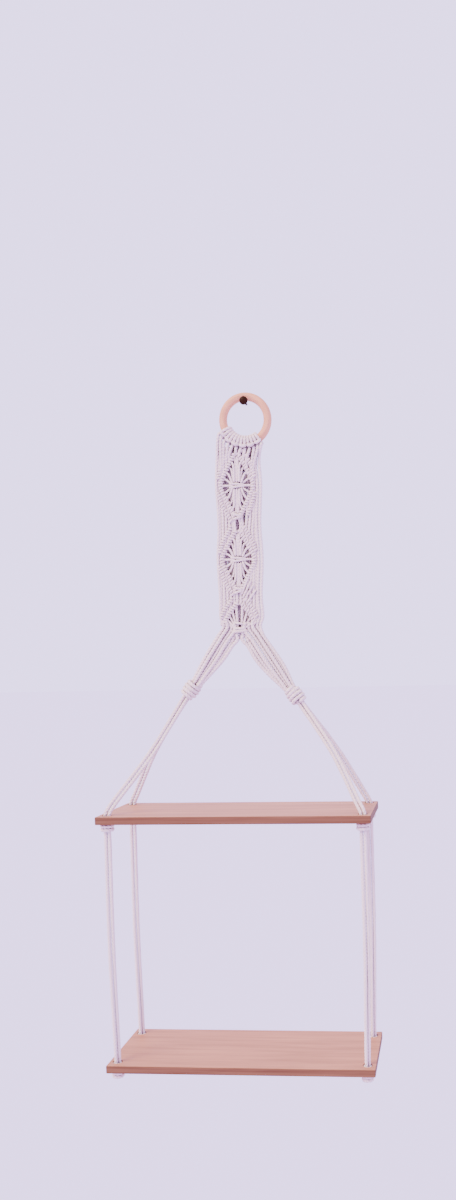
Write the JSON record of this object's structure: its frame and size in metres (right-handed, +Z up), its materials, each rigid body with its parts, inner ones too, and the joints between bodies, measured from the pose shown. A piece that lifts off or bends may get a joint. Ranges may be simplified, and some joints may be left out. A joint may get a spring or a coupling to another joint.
{
  "type": "macrame rope wall shelf on a wall nail",
  "caption": "Hanging shelf with wooden boards on knotted cotton ropes, hung from its wall nail by a wooden ring and a macrame band.",
  "frame": {"origin": "middle of the nail's rear face, in the plane of the wall that it hangs on", "axes": "+Z up, +X to the right seen from the front, +Y into the wall; the shelf stands out from the wall towards -Y"},
  "size_m": [0.35, 0.13, 0.8917],
  "materials": {
    "cotton_cord": "twisted cotton cord, off-white with a faint pink cast, matt and slightly fuzzy",
    "ring_wood": "turned pale wood, smooth and lightly waxed",
    "board_wood": "planed reddish wood with straight grain along the board, matt",
    "nail_metal": "near-black round-headed nail, slightly glossy"
  },
  "bodies": {
    "root": {"nail": "nail_metal", "ring": "ring_wood", "macrame_band": "cotton_cord", "leg_left": "cotton_cord", "leg_right": "cotton_cord", "upper_rope_front_left": "cotton_cord", "upper_rope_back_left": "cotton_cord", "upper_rope_front_right": "cotton_cord", "upper_rope_back_right": "cotton_cord", "upper_knot_front_left": "cotton_cord", "upper_knot_back_left": "cotton_cord", "upper_knot_front_right": "cotton_cord", "upper_knot_back_right": "cotton_cord", "lower_rope_front_left": "cotton_cord", "lower_rope_back_left": "cotton_cord", "lower_rope_front_right": "cotton_cord", "lower_rope_back_right": "cotton_cord", "lower_knot_front_left": "cotton_cord", "lower_knot_back_left": "cotton_cord", "lower_knot_front_right": "cotton_cord", "lower_knot_back_right": "cotton_cord", "top_board": "board_wood", "bottom_board": "board_wood"}
  },
  "joints": []
}
